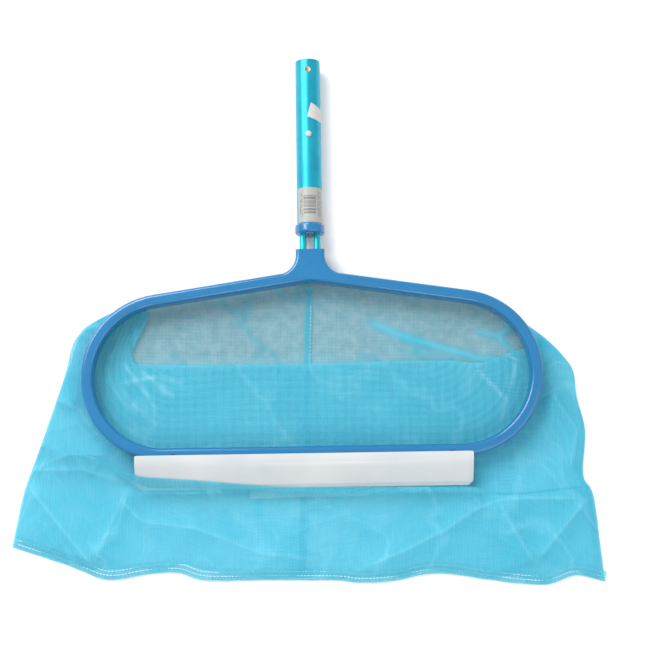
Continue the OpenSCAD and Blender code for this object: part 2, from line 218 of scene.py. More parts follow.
def mark(obj, name, values):
    """A value at each vertex, which the mesh material reads."""
    data = obj.data.attributes.new(name, "FLOAT", "POINT").data
    data.foreach_set("value", values.ravel().astype(np.float32))


def line_run(line):
    """Distance along a line of points, at each point."""
    return np.r_[0, np.cumsum(np.linalg.norm(np.diff(line, axis=0), axis=1))]


def run_of(points):
    """Distance down each column of a grid."""
    step = np.linalg.norm(np.diff(points, axis=0), axis=2)
    return np.vstack([np.zeros((1, points.shape[1])), np.cumsum(step, axis=0)])


# ---------------------------------------------------------------- materials
class Nodes:
    """Short calls for building one material's node tree."""

    def __init__(self, name):
        self.mat = bpy.data.materials.new(name)
        self.mat.use_nodes = True
        self.tree = self.mat.node_tree
        self.tree.nodes.clear()

    def fill(self, socket, value):
        """Links an output to a socket, or sets the socket's own value."""
        if isinstance(value, bpy.types.NodeSocket):
            self.tree.links.new(value, socket)
        elif socket.type == "RGBA":
            socket.default_value = (*value, 1.0)
        else:
            socket.default_value = value

    def add(self, kind, **inputs):
        """A node, with inputs by name, or by number as i0, i1 and so on."""
        node = self.tree.nodes.new("ShaderNode" + kind)
        for key, value in inputs.items():
            numbered = key[0] == "i" and key[1:].isdigit()
            self.fill(node.inputs[int(key[1:]) if numbered else key.replace("_", " ")], value)
        return node

    def attribute(self, name):
        node = self.add("Attribute")
        node.attribute_name = name
        return node.outputs["Fac"]

    def math(self, op, a, b=0.0):
        node = self.add("Math", i0=a, i1=b)
        node.operation = op
        return node.outputs[0]

    def times(self, a, b):
        return self.math("MULTIPLY", a, b)

    def plus(self, a, b):
        return self.math("ADD", a, b)

    def wave(self, value, length):
        """A cosine that repeats with that length."""
        return self.math("COSINE", self.times(value, 2 * math.pi / length))

    def span(self, value, a, b, low=0.0, high=1.0):
        """Maps a to b onto low to high, and stops at the ends."""
        return self.add("MapRange", i0=value, i1=a, i2=b, i3=low, i4=high).outputs[0]

    def mix(self, factor, a, b):
        node = self.add("Mix", i0=factor)
        node.data_type = "RGBA"
        self.fill(node.inputs[6], a)
        self.fill(node.inputs[7], b)
        return node.outputs[2]

    def noise(self, scale, detail=3.0, where=None, rough=0.5):
        node = self.add("TexNoise", Scale=scale, Detail=detail, Roughness=rough)
        self.tree.links.new(where or self.place(), node.inputs["Vector"])
        return node.outputs["Fac"]

    def place(self):
        return self.add("TexCoord").outputs["Object"]

    def xyz(self, vector=None):
        node = self.add("SeparateXYZ")
        self.tree.links.new(vector or self.place(), node.inputs[0])
        return node.outputs

    def bump(self, height, strength=0.3, distance=0.0004):
        node = self.add("Bump", Strength=strength, Distance=distance)
        self.tree.links.new(height, node.inputs["Height"])
        return node.outputs[0]

    def finish(self, shader):
        out = self.add("OutputMaterial")
        self.tree.links.new(shader, out.inputs["Surface"])
        return self.mat


def moulded(name, color, dark, rough=0.3, scale=60, coat=0.0):
    """Moulded plastic: slight mottling, a faint orange-peel skin and handling marks."""
    n = Nodes(name)
    shade = n.mix(n.span(n.noise(scale), 0.35, 0.7), dark, color)
    marks = n.span(n.noise(420, 6.0), 0.4, 0.75, rough * 0.85, rough * 1.45)
    skin = n.bump(n.noise(900, 2.0), 0.12, 0.0003)
    shader = n.add("BsdfPrincipled", Base_Color=shade, Roughness=marks, Normal=skin,
                   Specular_IOR_Level=0.5, Coat_Weight=coat, Coat_Roughness=0.2)
    return n.finish(shader.outputs[0])


def anodised(name, color, dark, rough=0.32, metal=0.75, bare_inside=None):
    """Anodised aluminium: draw lines along the tube and fine scratches. Inside a given radius it is bare
    metal, painted a warm tan as a reflection of warm light.
    """
    n = Nodes(name)
    stretch = n.add("Mapping", Vector=n.place(), Scale=(1.0, 0.03, 1.0)).outputs[0]
    lines = n.noise(2600, 3.0, stretch)
    blotch = n.noise(45, 4.0)
    shade = n.mix(n.span(n.plus(n.times(lines, 0.5), n.times(blotch, 0.5)), 0.35, 0.65), dark, color)
    marks = n.span(n.noise(700, 5.0, stretch), 0.35, 0.7, rough * 0.8, rough * 1.4)
    if bare_inside:
        x, y, z = n.xyz()
        up = n.math("SUBTRACT", z, AXIS_Z * MM)
        radius = n.math("SQRT", n.plus(n.times(x, x), n.times(up, up)))
        # Painted reflection: the bare metal inside the hole is given a warm tan colour for the warm light seen
        # there
        shade = n.mix(n.math("LESS_THAN", radius, bare_inside), shade, (0.42, 0.30, 0.16))
    shader = n.add("BsdfPrincipled", Base_Color=shade, Roughness=marks, Metallic=metal,
                   Normal=n.bump(lines, 0.1, 0.0002))
    return n.finish(shader.outputs[0])


def steel(name, color, rough=0.3):
    n = Nodes(name)
    shade = n.mix(n.noise(300, 5.0), tuple(0.7 * c for c in color), color)
    marks = n.span(n.noise(1500, 4.0), 0.35, 0.7, rough * 0.7, rough * 1.5)
    shader = n.add("BsdfPrincipled", Base_Color=shade, Roughness=marks, Metallic=1.0,
                   Normal=n.bump(n.noise(1800, 3.0), 0.1, 0.0002))
    return n.finish(shader.outputs[0])


def woven(name, light, deep, cover, pitch=0.0016, contrast=0.22, glow=0.45, streak=0.5,
          bright=(0.45, 0.9, 1.0), shaded_tone=(0.10, 0.46, 0.56)):
    """Fine open mesh. Threads cover part of each cell, and light comes through both holes and threads.
    Attributes change the cloth from place to place: layers thickens it and moire gives it a lattice. Two more
    paint light and shade: one turns it towards its bright colour as painted highlight, the other towards its
    darker shaded colour as painted shade."""
    n = Nodes(name)
    flat = n.add("UVMap").outputs[0]
    u, v = n.xyz(flat)[0], n.xyz(flat)[1]
    wobble = n.times(n.math("SUBTRACT", n.noise(28, 2.0, flat), 0.5), 0.0012)
    warp = n.wave(n.plus(u, wobble), pitch)
    weft = n.wave(n.math("SUBTRACT", v, wobble), pitch)
    threads = n.math("MAXIMUM", warp, weft)
    slubs = n.math("SUBTRACT", n.noise(95, 4.0, flat), 0.5)
    rows = n.noise(60, 2.0, n.add("Mapping", Vector=flat, Scale=(0.4, 6.0, 1.0)).outputs[0])
    picks = n.noise(60, 2.0, n.add("Mapping", Vector=flat, Scale=(5.0, 0.3, 1.0)).outputs[0])
    uneven = n.math("SUBTRACT", n.times(n.plus(rows, picks), 0.5), 0.5)
    filled = n.plus(n.times(n.math("SUBTRACT", threads, 0.4), contrast), n.times(slubs, 0.22))
    filled = n.plus(filled, n.times(uneven, streak))
    # Two layers of mesh beat together into a soft lattice
    lattice = n.plus(n.wave(n.plus(u, wobble), 0.0105), n.wave(n.plus(v, wobble), 0.0090))
    filled = n.plus(filled, n.times(n.times(lattice, 0.05), n.attribute("moire")))
    # Fine wrinkles, where the cloth stands steeper and looks closer woven
    wrinkle = n.math("ABSOLUTE", n.math("SUBTRACT", n.noise(7.5, 3.0, flat), 0.5))
    wrinkle = n.span(wrinkle, 0.03, 0.0)
    filled = n.plus(filled, n.times(wrinkle, 0.10))
    covered = n.plus(n.plus(filled, cover), n.attribute("layers"))
    covered = n.math("MINIMUM", n.math("MAXIMUM", covered, 0.12), 0.97)
    tone = n.mix(n.span(n.noise(14, 4.0, flat), 0.3, 0.7), deep, light)
    # Painted highlight: fine wrinkles and marked places turn towards the bright colour; painted shade: marked
    # places turn towards the darker shaded colour
    tone = n.mix(n.times(wrinkle, 0.22), tone, bright)
    tone = n.mix(n.attribute("painted_light"), tone, bright)
    tone = n.mix(n.attribute("painted_shade"), tone, shaded_tone)
    skin = n.bump(threads, 0.25, 0.0003)
    front = n.add("BsdfDiffuse", Color=tone, Normal=skin)
    through = n.add("BsdfTranslucent", Color=tone)
    thread = n.add("MixShader", i0=glow, i1=front.outputs[0], i2=through.outputs[0])
    clear = n.add("BsdfTransparent", Color=(1.0, 1.0, 1.0))
    both = n.add("MixShader", i0=covered, i1=clear.outputs[0], i2=thread.outputs[0])
    return n.finish(both.outputs[0])


def paper(name, color, mark=None):
    n = Nodes(name)
    tone = n.mix(n.span(n.noise(500, 6.0), 0.3, 0.7), tuple(0.9 * c for c in color), color)
    if mark:
        tone = mark(n, tone)
    shader = n.add("BsdfPrincipled", Base_Color=tone, Roughness=0.42,
                   Normal=n.bump(n.noise(1300, 4.0), 0.15, 0.0002))
    return n.finish(shader.outputs[0])


def label_marks(n, tone):
    """Generic print: a block of upright bars beside rows of short grey dashes."""
    x, y, z = n.xyz()
    turn = n.math("ARCTAN2", x, n.math("SUBTRACT", z, AXIS_Z * MM))
    around = n.times(turn, (TUBE_HIGH.x - TUBE_LOW.x) / 2)
    up = n.math("SUBTRACT", y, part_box("product_label")[0].y)

    def inside(value, a, b):
        return n.times(n.math("GREATER_THAN", value, a), n.math("LESS_THAN", value, b))

    across = n.add("CombineXYZ", Y=n.times(n.plus(up, 0.3), 1150.0)).outputs[0]
    bars = n.math("GREATER_THAN", n.noise(1.0, 0.0, across), 0.5)
    block = n.times(inside(around, -0.0068, 0.0078), inside(up, 0.010, 0.0325))
    spots = n.add("CombineXYZ", X=n.times(around, 500.0), Y=n.times(up, 900.0)).outputs[0]
    dashes = n.math("GREATER_THAN", n.noise(1.0, 1.0, spots), 0.55)
    sides = n.math("MAXIMUM", inside(around, -0.0120, -0.0082), inside(around, 0.0092, 0.0150))
    columns = n.times(sides, inside(up, 0.007, 0.036))
    ink = n.math("MAXIMUM", n.times(block, bars), n.times(columns, dashes))
    return n.mix(n.times(ink, 0.8), tone, (0.06, 0.07, 0.09))


MATS = {
    "anodised_tube": anodised("anodised_tube", (0.016, 0.40, 0.53), (0.007, 0.29, 0.43), 0.36, 0.6, 0.0135),
    "anodised_rod": anodised("anodised_rod", (0.03, 0.58, 0.62), (0.01, 0.36, 0.42)),
    "spring_steel": steel("spring_steel", (0.62, 0.63, 0.65)),
    "screw_steel": steel("screw_steel", (0.35, 0.37, 0.40)),
    "button_plastic": moulded("button_plastic", (0.55, 0.60, 0.64), (0.45, 0.50, 0.55), 0.22, 200, 0.4),
    "blue_plastic": moulded("blue_plastic", (0.005, 0.160, 0.370), (0.004, 0.145, 0.345), 0.17, 30, 0.4),
    "dark_plastic": moulded("dark_plastic", (0.01, 0.07, 0.2), (0.008, 0.05, 0.15), 0.4, 120),
    "dark_vinyl": moulded("dark_vinyl", (0.02, 0.09, 0.17), (0.012, 0.06, 0.12), 0.55, 150),
    "white_plastic": moulded("white_plastic", (0.58, 0.60, 0.61), (0.51, 0.55, 0.57), 0.34, 18, 0.15),
    "aqua_mesh": woven("aqua_mesh", (0.18, 0.70, 0.83), (0.125, 0.63, 0.78), 0.50),
    "mesh_hem": woven("mesh_hem", (0.34, 0.80, 0.90), (0.26, 0.74, 0.86), 0.55),
    "white_thread": moulded("white_thread", (0.80, 0.88, 0.90), (0.62, 0.74, 0.80), 0.7, 900),
    "pale_tape": woven("pale_tape", (0.55, 0.72, 0.78), (0.45, 0.63, 0.70), 0.86, 0.0011, 0.1),
    "paper": paper("paper", (0.56, 0.55, 0.54)),
    "label_paper": paper("label_paper", (0.38, 0.38, 0.355), label_marks),
}
# The bag's back is seen through the mouth against the floor; its cloth colour there is painted shade, darker
# and less streaked, and its bright colour is its lit colour
BACK_MESH = woven("aqua_mesh_back", (0.03, 0.29, 0.37), (0.02, 0.24, 0.32), 0.58,
                  contrast=0.08, streak=0.16, bright=(0.10, 0.62, 0.79))
SEAM_MESH = woven("aqua_mesh_seam", (0.09, 0.66, 0.84), (0.06, 0.58, 0.78), 0.5)
TAB_TAPE = woven("pale_tape_bright", (0.72, 0.88, 0.92), (0.62, 0.80, 0.86), 0.95, 0.0011, 0.06)


def dress(obj, slot, material=None):
    obj.data.materials.clear()
    obj.data.materials.append(material or MATS[slot])


# ---------------------------------------------------------------- the bag
# Outline of the bag as it lies: each side from the frame down to the hem, then the hem. The crest is where
# the cloth rides up in front of the lip.
LEFT_SIDE = [(-224, 63), (-240.6, 68), (-263.5, 54.3), (-277.6, 12.3),
             (-304.5, -68.4), (-311.6, -89.6), (-324.4, -128.8), (-335.5, -185)]
RIGHT_SIDE = [(246.5, 28), (258.9, 28.9), (284.9, 18), (296.5, 1.7), (298.9, -27.9), (306.5, -65.6),
              (302.2, -115.9), (312.9, -141.1), (320.6, -232.7)]
HEM_LINE = [(-335.5, -185), (-272.4, -206.4), (-229.3, -222), (-185, -217), (-150.3, -216.1),
            (-120.4, -224.5), (-50, -225.5), (19.9, -226.7), (52.5, -230), (89.4, -228), (135.7, -221),
            (200, -230), (255, -235.1), (287.7, -225.6), (320.6, -232.7)]
CREST = [(-303, -69), (-283, -77), (-249, -85), (-227, -90), (-210, -103), (-198, -106), (-143, -112),
         (-48, -122.5), (35, -124.6), (176, -125.2), (230, -127), (300, -120)]
COLS = 300


def angle_at(x, y):
    return math.degrees(math.atan2(y, x)) % 360


LEFT_TOP = angle_at(*LEFT_SIDE[0])
RIGHT_TOP = angle_at(*RIGHT_SIDE[0])
upper_line = ring_line(MID_R, RIGHT_TOP, LEFT_TOP, COLS)[::-1]
lower_line = ring_line(MID_R, LEFT_TOP, 360 + RIGHT_TOP, COLS)
hem_line = along(HEM_LINE, COLS)


# Folds in the bag's back, seen through the mouth: a long slanting pleat, and a gather at its right end
PLEAT = [(54, 66), (107, 43), (154, 28), (196, 16)]
GATHER = [(183, 49), (212, 43), (227, 52), (216, 67)]
TAIL = [(212, 43), (219, 34), (236, 19)]


def back_height(x, y):
    """How high the bag's back lies above the floor, outside its tuck into the frame."""
    z = 1.5 + 0.8 * waves(x, y, 90, 3) + 0.35 * waves(x, y, 30, 5)
    z = z + crease(x, y, PLEAT + [(233, 20)], 2.2, 5)
    z = z + crease(x, y, GATHER, 2.4, 4)
    z = z + crease(x, y, TAIL, 2.0, 4)
    z = z + crease(x, y, [(-232, 60), (-205, 40), (-204, 10), (-215, -20)], 1.5, 6)
    return np.maximum(z, 0.25)


def pleat_side(x, y):
    """Distance below the slanting pleat."""
    start_x, start_y = PLEAT[0]
    return (start_y - (x - start_x) * 0.37) - y


def ring_offset(x, y):
    """Distance in plan from the middle line of the frame's bar, negative inside it."""
    ax = np.abs(x)
    arc = np.hypot(ax - END_X, y) - MID_R
    flat_low = -MID_R - y
    rise = (END_X + MID_R * math.sin(GABLE) - ax) * math.tan(GABLE)
    upper_bar = (y - MID_R * math.cos(GABLE) - rise) * math.cos(GABLE)
    return np.where(ax > END_X, arc, np.where(y < 0, flat_low, upper_bar))


# Line, rise and half width of each pressed crease in the front of the bag, which also gets a painted highlight
# as a pale line along it
SHARP_CREASES = [
    ([(-322, -112), (-285, -158), (-239, -214)], 8.0, 13),
    ([(-205, -118), (-243, -204)], 7.0, 13),
    ([(-217, -131), (-192, -159), (-122, -170)], 5.0, 14),
    ([(-330, -101), (-256, -102), (-207, -118)], 6.0, 11),
    ([(30, -224), (94, -198), (144, -175), (176, -154), (209, -141), (251, -141), (316, -142)], 9.0, 15),
    ([(305, -140), (241, -213)], 8.0, 13),
    ([(203, -142), (244, -216)], 7.0, 13),
    ([(-322, -104), (-268, -84), (-222, -86)], 5.5, 9),
    ([(-150, -160), (-60, -196), (10, -206)], 3.0, 12),
    ([(262, -14), (296, -66), (286, -112)], 4.5, 10),
    ([(-296, -18), (-262, -34), (-236, -70)], 4.5, 9),
]

# The same for its softer folds
SOFT_FOLDS = [
    ([(-60, -190), (20, -160), (60, -150)], 2.0, 14),
    ([(255, -20), (285, -70), (290, -120)], 4.0, 12),
    ([(-300, -60), (-262, -50), (-225, -88)], 3.5, 10),
    ([(-238, 62), (-262, 10), (-268, -40)], 4.5, 12),
    ([(-292, -30), (-262, -20), (-240, -55)], 4.0, 12),
    ([(-312, -150), (-282, -190)], 3.5, 11),
    ([(262, 24), (272, -30), (262, -90)], 4.5, 12),
    ([(180, -170), (215, -190), (222, -222)], 3.5, 12),
]

# Creases in the part of the front that folds up inside the mouth
INNER_CREASES = [
    [(-216, 21), (-192, -10), (-172, -42)],
    [(-198, 12), (-154, -24)],
    [(-206, -28), (-178, -50)],
    [(-222, -6), (-176, 2), (-140, -8)],
    [(206, 34), (232, 14), (222, -22)],
    [(186, 6), (218, -30), (212, -58)],
]


def front_folds(x, y):
    """Height added by the creases in the bag's front."""
    return sum(crease(x, y, line, rise, width) for line, rise, width in SHARP_CREASES + SOFT_FOLDS)


def hem_height(x):
    return 1.9 + 0.72 * waves(x, 0 * x, 60, 17) + 1.6 * np.abs(waves(x, 0 * x, 110, 23))


def add_bag_back():
    """The rear sheet, from the upper bar's groove down to the hem."""
    rows = 220
    plan = patch(upper_line, hem_line, LEFT_SIDE, RIGHT_SIDE, rows)
    x, y = plan[..., 0], plan[..., 1]
    v = np.linspace(0, 1, rows)[:, None] * np.ones_like(x)
    offset = ring_offset(x, y)
    z = back_height(x, y)
    lift = (1 - smooth(1, 15, np.abs(offset))) * (1 - smooth(0.0, 0.22, v))
    z = z * (1 - lift) + (GROOVE_Z - 0.2) * lift
    at_hem = smooth(0.93, 1, v)
    z = z * (1 - at_hem) + 1.0 * at_hem
    obj = add_grid("bag_back_mesh", to_row(x, y, z), np.stack([x, -y], -1) * MM)
    pleat = (crease(x, y, PLEAT + [(236, 14)], 1, 5, 2) + crease(x, y, GATHER, 0.8, 4, 2)
             + crease(x, y, TAIL, 0.8, 4, 2))
    pleat = np.maximum(pleat, 0.45 * smooth(-4, 10, pleat_side(x, y)) * smooth(60, 160, x))
    mark(obj, "layers", 0.2 * pleat)
    # Inside the mouth the back's colour is painted shade; it takes its lit colour outside the mouth, where it
    # lies on the floor, partly low down inside it, and along its pleats
    tint = np.maximum(smooth(-6, 10, offset), smooth(30, 0, y) * 0.6)
    mark(obj, "painted_light", np.maximum(tint, 0.75 * pleat))
    dress(obj, "aqua_mesh", BACK_MESH)
    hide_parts("bag_back")
    return obj


def fold_edge(count):
    """Where the front's fold inside the mouth lies, for columns from the left of the frame to the right."""
    key = [(-206, 88), (-186, 76), (-191, 58), (-201, 38), (-203, 24), (-190, 15.5), (-120, 14.5), (0, 14),
           (100, 15.5), (156, 15), (184, 12), (206, 16), (226, 24)]
    return along(key, count)


def lip_top(y):
    """Height of the lip's upper face, or of its free edge beyond it."""
    free_edge, free_y, blade_y = 14.0, -125.6, 29.4
    return free_edge + (BAR_TOP + 1.8 - free_edge) * np.clip((y - free_y) / blade_y, 0, 1)


def inner_panel(rows):
    """The front's part inside the mouth, up from the groove and folded back down behind itself."""
    fold = fold_edge(COLS)
    t = np.linspace(0, 1, rows)[:, None]
    # Columns keep the frame's spacing near the frame and the fold's spacing at the fold
    lean = smooth(0, 1, t)
    up_x = lower_line[None, :, 0] * (1 - lean) + fold[None, :, 0] * lean
    up_y = lower_line[None, :, 1] * (1 - lean) + fold[None, :, 1] * lean
    up_z = GROOVE_Z - 5.4 * smooth(0, 0.22, t) + 0.5 * waves(up_x, up_y, 50, 31) + 0.8 * smooth(0.2, 0.8, t)
    down_x, down_y = up_x[::-1].copy(), up_y[::-1].copy()
    down_z = 3.6 + 0.35 * waves(down_x, down_y, 60, 37)
    creased = sum(crease(up_x, up_y, line, 0.8, 5) for line in INNER_CREASES) * smooth(0.03, 0.2, t)
    up_z = up_z + 0.5 * creased
    near_fold = np.exp(-((1 - t) * 80 / 4) ** 2)
    fold_z, half_gap = 4.7, 0.7
    up_z = up_z * (1 - near_fold) + (fold_z + half_gap) * near_fold
    near_fold = near_fold[::-1]
    down_z = down_z * (1 - near_fold) + (fold_z - half_gap) * near_fold
    return (up_x, up_y, up_z), (down_x, down_y - 0.2, down_z), creased


def resample(line, start, end, count):
    """Points of a plan line between two of its rows, evenly by row."""
    at = np.linspace(start, end, count)
    return np.stack([np.interp(at, np.arange(len(line)), line[:, k]) for k in (0, 1)], 1)


def outer_column(line, c, crest_x, crest_y, upper_rows, turn_rows, lower_rows):
    """One column of the front outside the mouth: under the bar, up to the crest, back, and down to the hem."""
    last = len(line) - 1
    y_crest = np.interp(line[:, 0], crest_x, crest_y)
    under_lip = smooth(-205, -185, line[:, 0]) * (1 - smooth(170, 190, line[:, 0]))
    valley = y_crest - 8
    beyond_lip = np.minimum(valley, -128.2 * under_lip + valley * (1 - under_lip))
    valley = np.where(under_lip > 0.01, beyond_lip, valley)
    past = np.nonzero(line[:, 1] < valley)[0]
    # Columns that start beyond the crest, near the sides, have no fold to make
    has_fold = len(past) > 0 and past[0] > 2
    at = past[0] if has_fold else 2
    x_at, y_valley = line[at, 0], valley[at]
    upper = resample(line, 0, at, upper_rows)
    lower = resample(line, at, last, lower_rows)
    s = np.linspace(0, 1, turn_rows + 2)[1:-1]
    on_lip = smooth(-222, -199, x_at) * (1 - smooth(178, 200, x_at))
    folded = 1 - smooth(176, 196, x_at)
    reach = (np.interp(x_at, crest_x, crest_y) - y_valley) if has_fold else 0.0
    reach = reach * math.sin(math.pi * min(1, max(0, c / (COLS - 1)))) ** 0.35 * folded
    up = np.stack([np.full(turn_rows, x_at), y_valley + reach * s], 1)
    down = np.stack([np.full(turn_rows, x_at), y_valley + reach * (1 - s)], 1)
    low_z, rest_z = 4.6, 2.9
    upper_z = np.interp(np.linspace(0, 1, upper_rows), [0, 0.85, 1], [3.9, 3.8, low_z])
    up_z = low_z + (lip_top(up[:, 1]) + 0.7 - low_z) * smooth(0, 0.3, s) * on_lip + 2.0 * (1 - on_lip) * s
    down_z = (lip_top(down[:, 1]) + 1.6) * on_lip + (4.4 + (8.5 - 1.5 * s) * folded) * (1 - on_lip)
    lower_z = rest_z + (down_z[-1] - rest_z) * np.exp(-np.linspace(0, 1, lower_rows) * 7.0)
    return np.vstack([np.c_[upper, upper_z], np.c_[up, up_z], np.c_[down, down_z], np.c_[lower, lower_z]])


def outer_panel(crest_x, crest_y):
    """The front's part outside the mouth."""
    plan_rows, upper_rows, turn_rows = 190, 90, 14
    lower_rows = plan_rows - upper_rows
    plan = patch(lower_line, hem_line, LEFT_SIDE, RIGHT_SIDE, plan_rows)
    full = np.stack([outer_column(plan[:, c], c, crest_x, crest_y, upper_rows, turn_rows, lower_rows)
                     for c in range(COLS)], 1)
    # The turn is rounded a little by averaging down each column
    for _ in range(3):
        full[1:-1] = 0.25 * full[:-2] + 0.5 * full[1:-1] + 0.25 * full[2:]
    # Neighbouring columns are eased together
    for _ in range(10):
        full[2:-2, 1:-1] = 0.25 * full[2:-2, :-2] + 0.5 * full[2:-2, 1:-1] + 0.25 * full[2:-2, 2:]
    x, y, z = full[..., 0], full[..., 1], full[..., 2]
    row = np.linspace(0, 1, len(full))[:, None]
    outside = smooth(6, 26, np.abs(ring_offset(x, y))) * (1 - smooth(0.94, 1.0, row))
    on_lip = smooth(-200, -190, x) * (1 - smooth(174, 182, x)) * smooth(-131, -126, y)
    swell = 1.4 * waves(x, y, 95, 41) + 0.5 * waves(x, y, 34, 43) + front_folds(x, y) + 2.0
    z = z + swell * outside * (1 - on_lip)
    z = np.maximum(z, back_height(x, y) + 0.9)
    # The front closes down onto the back along the bag's two sides
    side = np.minimum(np.linspace(0, 1, COLS), np.linspace(1, 0, COLS))[None, :]
    close = smooth(0, 0.02, side)
    return x, y, z * close + (1 - close) * (back_height(x, y) + 0.3)


def add_bag_front():
    """Up from the lower bar's groove, folded back down inside the mouth, under the bar, over a crest
    and down to the hem."""
    inner_rows = 46
    rising, falling, creased = inner_panel(inner_rows)
    crest = along(CREST, 400)
    crest_x, crest_y = crest[np.argsort(crest[:, 0])].T
    x, y, z = outer_panel(crest_x, crest_y)
    pts = np.concatenate([to_row(*rising), to_row(*falling), to_row(x, y, z)[1:]])
    run = run_of(pts)
    obj = add_grid("bag_front_mesh", pts, np.stack([pts[..., 0], run], -1))
    outer = slice(2 * inner_rows, None)
    up_x, up_y, _ = rising
    layers, painted_light, painted_shade, moire = (np.zeros(run.shape) for _ in range(4))
    layers[:inner_rows] = 0.22 * creased + 0.10 * smooth(-120, -215, up_x) * waves(up_x, up_y, 26, 71)
    layers[outer] = 0.020 * front_folds(x, y)[1:]
    # Painted highlight: pale lines along the creases inside the mouth, along the edge of the fold and along
    # the sharp creases outside
    painted_light[:inner_rows] = sum(crease(up_x, up_y, line, 0.45, 2.4, 2) for line in INNER_CREASES)
    painted_light[inner_rows - 1:inner_rows + 1] = 0.35
    painted_light[outer] = sum(crease(x, y, line, 0.3, 1.8, 2) for line, _, _ in SHARP_CREASES)[1:]
    # Painted shade: the sides near the frame and a band below the crest at the left are turned darker
    wings = 0.2 * smooth(-135, -40, y) * smooth(180, 235, np.abs(x))
    below_crest = y - np.interp(x, crest_x, crest_y) + 14
    crest_shade = 0.35 * np.exp(-(below_crest / 9) ** 2) * smooth(-190, -215, x)
    painted_shade[outer] = (wings + crest_shade)[1:]
    moire[:2 * inner_rows] = 1.0
    for name, values in (("layers", layers), ("painted_light", painted_light), ("painted_shade", painted_shade), ("moire", moire)):
        mark(obj, name, values)
    dress(obj, "aqua_mesh")
    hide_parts("bag_front")
    return obj


bag_back = add_bag_back()
bag_front = add_bag_front()


def add_hem():
    """The doubled band along the bag's lower edge, as a flat, rolled loop."""
    line = along(HEM_LINE, 420)
    step = np.gradient(line, axis=0)
    normal = np.stack([-step[:, 1], step[:, 0]], 1) / np.linalg.norm(step, axis=1)[:, None]
    high = hem_height(line[:, 0])
    loop = [(-0.3, 0.0), (0.6, -0.75), (5.5, -0.85), (10.4, -0.7),
            (11.2, 0.0), (10.4, 0.75), (5.5, 0.9), (0.6, 0.8)]
    pts = np.zeros((len(line), len(loop), 3))
    for k, (across, up) in enumerate(loop):
        ripple = 0.25 * np.sin(line[:, 0] / 6.3 + k)
        p = line + normal * (across + 0.3 * waves(line[:, 0], line[:, 1], 25, 51)[:, None])
        pts[:, k] = np.c_[p, np.maximum(high + up + ripple * (up > 0), 0.15)]
    rows = to_row(pts[..., 0], pts[..., 1], pts[..., 2])
    faces = grid_faces(len(line), len(loop), loop=True)
    obj = add_mesh("hem_band", rows.reshape(-1, 3), faces)
    layer = obj.data.uv_layers.new(name="flat")
    for poly in obj.data.polygons:
        for li in poly.loop_indices:
            v = obj.data.vertices[obj.data.loops[li].vertex_index].co
            layer.data[li].uv = (v.x, v.y)
    dress(obj, "mesh_hem")
    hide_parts("bottom_hem")
    return obj, line, normal, high


hem_band, hem_path, hem_normal, hem_high = add_hem()


def add_stitches(name, path, normal, height, inset, length=3.2, space=0.8, wide=0.7, lift=1.05):
    """A row of short, rounded stitches at an inset from a path."""
    line = path + normal * inset
    run = line_run(line)
    verts, faces = [], []
    ring = [(-0.5, -0.2), (-0.35, 0.3), (0.0, 0.5), (0.35, 0.3), (0.5, -0.2)]
    clear = 6.0
    at = clear
    rng = random.Random(7)
    while at + length < run[-1] - clear:
        ends = []
        for s in (at, at + 0.5, at + length - 0.5, at + length):
            p = np.array([np.interp(s, run, line[:, k]) for k in (0, 1)])
            nn = np.array([np.interp(s, run, normal[:, k]) for k in (0, 1)])
            ends.append((p, nn, np.interp(s, run, height)))
        start = len(verts)
        shift = rng.uniform(-0.12, 0.12)
        for i, (p, nn, h) in enumerate(ends):
            small = 0.45 if i in (0, 3) else 1.0
            for a, b in ring:
                q = p + nn * (a * wide * small + shift)
                verts.append((q[0], q[1], h + lift + b * 0.6 * small - (0.2 if small < 1 else 0)))
        faces += grid_faces(4, len(ring), start)
        at += length + space
    v = np.array(verts)
    rows = to_row(v[:, 0], v[:, 1], v[:, 2])
    obj = add_mesh(name, rows, faces)
    dress(obj, "white_thread")
    return obj


stitches = [add_stitches(f"hem_stitches_{i + 1}", hem_path, hem_normal, hem_high, inset)
            for i, inset in enumerate((4.5, 9.0))]
for s in stitches:
    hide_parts("hem_stitching")


def add_seam():
    """A doubled strip down the middle of the bag's back, with a row of stitches."""
    rows, top_y, low_y = 160, 103, -218
    v = np.linspace(0, 1, rows)[:, None]
    y = top_y - v * (top_y - low_y)
    mid = -2 - 11 * v + 0.7 * waves(y, 0 * y, 70, 61)
    across = np.linspace(-4.5, 4.5, 7)[None, :]
    x = mid + across + 0.25 * waves(y, across, 20, 62)
    yy = y + 0 * x
    z = back_height(x, yy) + 0.55
    # Only the top end tucks up into the groove
    lift = (1 - smooth(1, 15, np.abs(ring_offset(x, yy)))) * (yy > 60)
    z = z * (1 - lift) + (GROOVE_Z + 0.2) * lift
    obj = add_grid("seam_strip", to_row(x, yy, z), np.stack([x, -yy], -1) * MM)
    mark(obj, "layers", -0.16 * smooth(-20, -110, yy))
    dress(obj, "mesh_hem", SEAM_MESH)
    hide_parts("centre_seam")
    path = np.c_[mid[:, 0] + 2.6, y[:, 0]]
    side = np.tile([1.0, 0.0], (rows, 1))
    first, middle = 8, 3
    stitch = add_stitches("seam_stitches", path[first:], side[first:], z[first:, middle], 0.0,
                          length=2.6, space=1.6, wide=0.5, lift=0.35)
    return obj, stitch


seam, seam_stitches = add_seam()


def add_tab():
    """The plain tape sewn on inside the bag, seen through the mesh below the lip."""
    left, right, top_y, tall = -71, 62, -124, 12
    x = np.linspace(left, right, 60)[None, :]
    v = np.linspace(0, 1, 8)[:, None]
    y = top_y - tall * v + 0.5 * waves(x, 0 * v, 60, 71) + (x - left) * 0.008
    xx = x + 0 * y
    z = 4.9 + 0.3 * waves(xx, y, 40, 72)
    obj = add_grid("tape_tab", to_row(xx, y, z), np.stack([xx, y], -1) * MM)
    dress(obj, "pale_tape", TAB_TAPE)
    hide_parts("sewn_tab")
    return obj


tab = add_tab()


